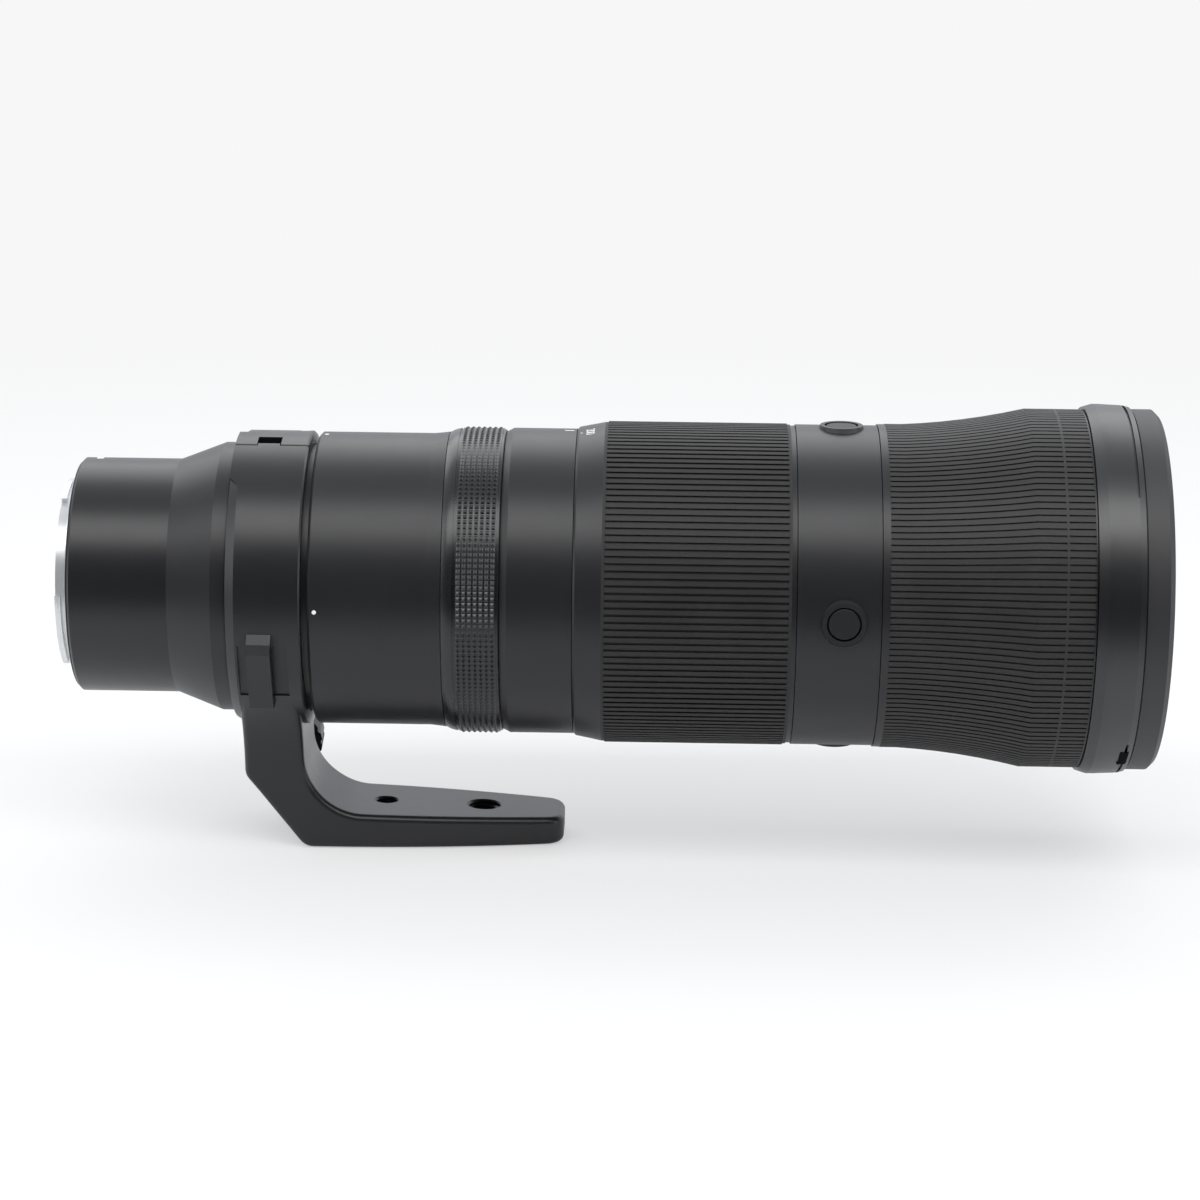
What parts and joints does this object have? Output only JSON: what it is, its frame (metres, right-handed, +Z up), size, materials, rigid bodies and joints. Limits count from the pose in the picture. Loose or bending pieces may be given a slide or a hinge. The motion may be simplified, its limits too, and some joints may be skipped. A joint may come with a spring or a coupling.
{
  "type": "camera zoom lens",
  "caption": "Long telephoto zoom lens with ribbed grips, function buttons, bayonet mount and a hinged, clamped tripod collar with a foot.",
  "frame": {"origin": "centre of the mount flange's rear face, on the optical axis", "axes": "+X runs along the optical axis to the front glass, +Z is up, away from the tripod foot"},
  "size_m": [0.3225, 0.1096, 0.1338],
  "materials": {
    "mount_chrome": "polished",
    "screw_steel": "satin",
    "mount_rubber": "matte",
    "baffle_black": "matte",
    "contact_plastic": "satin",
    "contact_gold": "polished",
    "mount_paint": "satin black paint on light alloy",
    "body_paint": "fine satin black paint on light alloy",
    "collar_paint": "fine satin black paint on light alloy",
    "pin_steel": "satin",
    "knob_paint": "satin black paint on light alloy",
    "panel_plastic": "matte",
    "switch_plastic": "satin",
    "control_paint": "satin black paint on light alloy",
    "zoom_paint": "fine satin black paint on light alloy",
    "zoom_rubber": "matte",
    "focus_paint": "satin black paint on light alloy",
    "focus_rubber": "matte",
    "button_plastic": "matte",
    "front_gloss": "gloss",
    "rim_paint": "matte",
    "tube_metal": "anodised",
    "cell_black": "anodised",
    "motor_steel": "satin",
    "blade_black": "matte",
    "front_glass": "coated",
    "inner_glass": "coated"
  },
  "bodies": {
    "barrel": {"bayonet_mount": "mount_chrome", "mount_screws": "screw_steel", "rear_baffle": "baffle_black", "contact_block": "contact_plastic", "contact_pins": "contact_gold", "mount_barrel": "mount_paint", "mount_gasket": "mount_rubber", "taper_barrel": "body_paint", "main_barrel": "body_paint", "switch_panel": "panel_plastic", "scale_barrel": "body_paint", "guide_tube": "tube_metal", "rear_tube": "tube_metal", "button_barrel": "body_paint", "front_tube": "tube_metal", "front_barrel": "front_gloss", "front_rim": "rim_paint", "front_cell": "cell_black", "front_element": "front_glass", "second_element": "inner_glass", "rear_element": "inner_glass", "iris_housing": "cell_black", "focus_motor": "motor_steel"},
    "collar": {"collar_foot": "collar_paint", "collar_hinge_pin": "pin_steel"},
    "strap": {"collar_strap": "collar_paint"},
    "clamp_screw": {"clamp_screw": "pin_steel"},
    "clamp_knob": {"clamp_knob": "knob_paint"},
    "control_ring": {"control_ring": "control_paint"},
    "zoom": {"zoom_ring": "zoom_paint", "zoom_grip": "zoom_rubber", "cam_tube": "tube_metal"},
    "variator": {"variator_cell": "cell_black", "variator_lens": "inner_glass"},
    "compensator": {"compensator_cell": "cell_black", "compensator_lens": "inner_glass"},
    "button_top": {"function_button_top": "button_plastic"},
    "button_near": {"function_button_near": "button_plastic"},
    "button_bottom": {"function_button_bottom": "button_plastic"},
    "button_far": {"function_button_far": "button_plastic"},
    "mode_switch": {"focus_mode_switch": "switch_plastic"},
    "limit_switch": {"focus_limit_switch": "switch_plastic"},
    "focus_ring": {"focus_ring": "focus_paint", "focus_grip": "focus_rubber"},
    "stabiliser_frame": {"stabiliser_frame": "cell_black"},
    "stabiliser_cell": {"stabiliser_cell": "cell_black", "stabiliser_lens": "inner_glass"},
    "focus_group": {"focus_cell": "cell_black", "focus_lens": "inner_glass"},
    "lead_screw": {"lead_screw": "pin_steel"},
    "iris_ring": {"iris_ring": "cell_black"},
    "iris_blade_1": {"iris_blade_1": "blade_black"},
    "iris_blade_2": {"iris_blade_2": "blade_black"},
    "iris_blade_3": {"iris_blade_3": "blade_black"},
    "iris_blade_4": {"iris_blade_4": "blade_black"},
    "iris_blade_5": {"iris_blade_5": "blade_black"},
    "iris_blade_6": {"iris_blade_6": "blade_black"},
    "iris_blade_7": {"iris_blade_7": "blade_black"},
    "iris_blade_8": {"iris_blade_8": "blade_black"},
    "iris_blade_9": {"iris_blade_9": "blade_black"}
  },
  "joints": [
    {"name": "collar_turn", "type": "hinge", "parent": "barrel", "child": "collar", "pos_m": [0.05875, 0, 0], "axis": [1, 0, 0], "continuous": true},
    {"name": "strap_open", "type": "hinge", "parent": "collar", "child": "strap", "pos_m": [0.05875, -0.00996, 0.04054], "axis": [1, 0, 0], "range_deg": [0, 55]},
    {"name": "clamp_travel", "type": "slide", "parent": "strap", "child": "clamp_screw", "axis": [0, 0.9711, 0.2385], "range_m": [0, 0.002]},
    {"name": "clamp_turn", "type": "hinge", "parent": "clamp_screw", "child": "clamp_knob", "pos_m": [0.05865, 0.01446, -0.05885], "axis": [0, 0.9711, 0.2385], "range_deg": [0, 720]},
    {"name": "control_turn", "type": "hinge", "parent": "barrel", "child": "control_ring", "pos_m": [0.118, 0, 0], "axis": [1, 0, 0], "continuous": true},
    {"name": "zoom_turn", "type": "hinge", "parent": "barrel", "child": "zoom", "pos_m": [0.179, 0, 0], "axis": [1, 0, 0], "range_deg": [0, 70]},
    {"name": "variator_slide", "type": "slide", "parent": "barrel", "child": "variator", "axis": [1, 0, 0], "range_m": [0, 0.024]},
    {"name": "compensator_slide", "type": "slide", "parent": "barrel", "child": "compensator", "axis": [1, 0, 0], "range_m": [0, 0.01]},
    {"name": "focus_turn", "type": "hinge", "parent": "barrel", "child": "focus_ring", "pos_m": [0.266, 0, 0], "axis": [1, 0, 0], "continuous": true},
    {"name": "mode_slide", "type": "slide", "parent": "barrel", "child": "mode_switch", "axis": [0, 0, 1], "range_m": [0, 0.003]},
    {"name": "limit_slide", "type": "slide", "parent": "barrel", "child": "limit_switch", "axis": [0, 0, 1], "range_m": [0, 0.003]},
    {"name": "stabiliser_sideways", "type": "slide", "parent": "barrel", "child": "stabiliser_frame", "axis": [0, 1, 0], "range_m": [-0.001, 0.001]},
    {"name": "stabiliser_upright", "type": "slide", "parent": "stabiliser_frame", "child": "stabiliser_cell", "axis": [0, 0, 1], "range_m": [-0.001, 0.001]},
    {"name": "focus_slide", "type": "slide", "parent": "barrel", "child": "focus_group", "axis": [1, 0, 0], "range_m": [-0.008, 0.008]},
    {"name": "lead_screw_spin", "type": "hinge", "parent": "barrel", "child": "lead_screw", "pos_m": [0.06, 0, 0.0322], "axis": [1, 0, 0], "range_deg": [-2880, 2880]},
    {"name": "iris_turn", "type": "hinge", "parent": "barrel", "child": "iris_ring", "pos_m": [0.121, 0, 0], "axis": [1, 0, 0], "range_deg": [0, 5]},
    {"name": "button_top_press", "type": "slide", "parent": "barrel", "child": "button_top", "axis": [0, 0, -1], "range_m": [0, 0.0006], "stiffness_N_per_m": 400},
    {"name": "button_near_press", "type": "slide", "parent": "barrel", "child": "button_near", "axis": [0, 1, 0], "range_m": [0, 0.0006], "stiffness_N_per_m": 400},
    {"name": "button_bottom_press", "type": "slide", "parent": "barrel", "child": "button_bottom", "axis": [0, 0, 1], "range_m": [0, 0.0006], "stiffness_N_per_m": 400},
    {"name": "button_far_press", "type": "slide", "parent": "barrel", "child": "button_far", "axis": [0, -1, 0], "range_m": [0, 0.0006], "stiffness_N_per_m": 400},
    {"name": "iris_blade_1_swing", "type": "hinge", "parent": "barrel", "child": "iris_blade_1", "pos_m": [0.118, 0, 0.0258], "axis": [1, 0, 0], "range_deg": [0, 36]},
    {"name": "iris_blade_2_swing", "type": "hinge", "parent": "barrel", "child": "iris_blade_2", "pos_m": [0.118, -0.01658, 0.01976], "axis": [1, 0, 0], "range_deg": [0, 36]},
    {"name": "iris_blade_3_swing", "type": "hinge", "parent": "barrel", "child": "iris_blade_3", "pos_m": [0.118, -0.02541, 0.00448], "axis": [1, 0, 0], "range_deg": [0, 36]},
    {"name": "iris_blade_4_swing", "type": "hinge", "parent": "barrel", "child": "iris_blade_4", "pos_m": [0.118, -0.02234, -0.0129], "axis": [1, 0, 0], "range_deg": [0, 36]},
    {"name": "iris_blade_5_swing", "type": "hinge", "parent": "barrel", "child": "iris_blade_5", "pos_m": [0.118, -0.00882, -0.02424], "axis": [1, 0, 0], "range_deg": [0, 36]},
    {"name": "iris_blade_6_swing", "type": "hinge", "parent": "barrel", "child": "iris_blade_6", "pos_m": [0.118, 0.00882, -0.02424], "axis": [1, 0, 0], "range_deg": [0, 36]},
    {"name": "iris_blade_7_swing", "type": "hinge", "parent": "barrel", "child": "iris_blade_7", "pos_m": [0.118, 0.02234, -0.0129], "axis": [1, 0, 0], "range_deg": [0, 36]},
    {"name": "iris_blade_8_swing", "type": "hinge", "parent": "barrel", "child": "iris_blade_8", "pos_m": [0.118, 0.02541, 0.00448], "axis": [1, 0, 0], "range_deg": [0, 36]},
    {"name": "iris_blade_9_swing", "type": "hinge", "parent": "barrel", "child": "iris_blade_9", "pos_m": [0.118, 0.01658, 0.01976], "axis": [1, 0, 0], "range_deg": [0, 36]}
  ],
  "couplings": [
    {"joint": "clamp_travel", "follows": "clamp_turn", "m_per_rad": 0.000159},
    {"joint": "variator_slide", "follows": "zoom_turn", "m_per_rad": 0.019644},
    {"joint": "compensator_slide", "follows": "zoom_turn", "m_per_rad": 0.0081851},
    {"joint": "lead_screw_spin", "follows": "focus_slide", "rad_per_m": 6283.2},
    {"joint": "iris_blade_1_swing", "follows": "iris_turn", "ratio": 7.19},
    {"joint": "iris_blade_2_swing", "follows": "iris_turn", "ratio": 7.19},
    {"joint": "iris_blade_3_swing", "follows": "iris_turn", "ratio": 7.19},
    {"joint": "iris_blade_4_swing", "follows": "iris_turn", "ratio": 7.19},
    {"joint": "iris_blade_5_swing", "follows": "iris_turn", "ratio": 7.19},
    {"joint": "iris_blade_6_swing", "follows": "iris_turn", "ratio": 7.19},
    {"joint": "iris_blade_7_swing", "follows": "iris_turn", "ratio": 7.19},
    {"joint": "iris_blade_8_swing", "follows": "iris_turn", "ratio": 7.19},
    {"joint": "iris_blade_9_swing", "follows": "iris_turn", "ratio": 7.19}
  ]
}
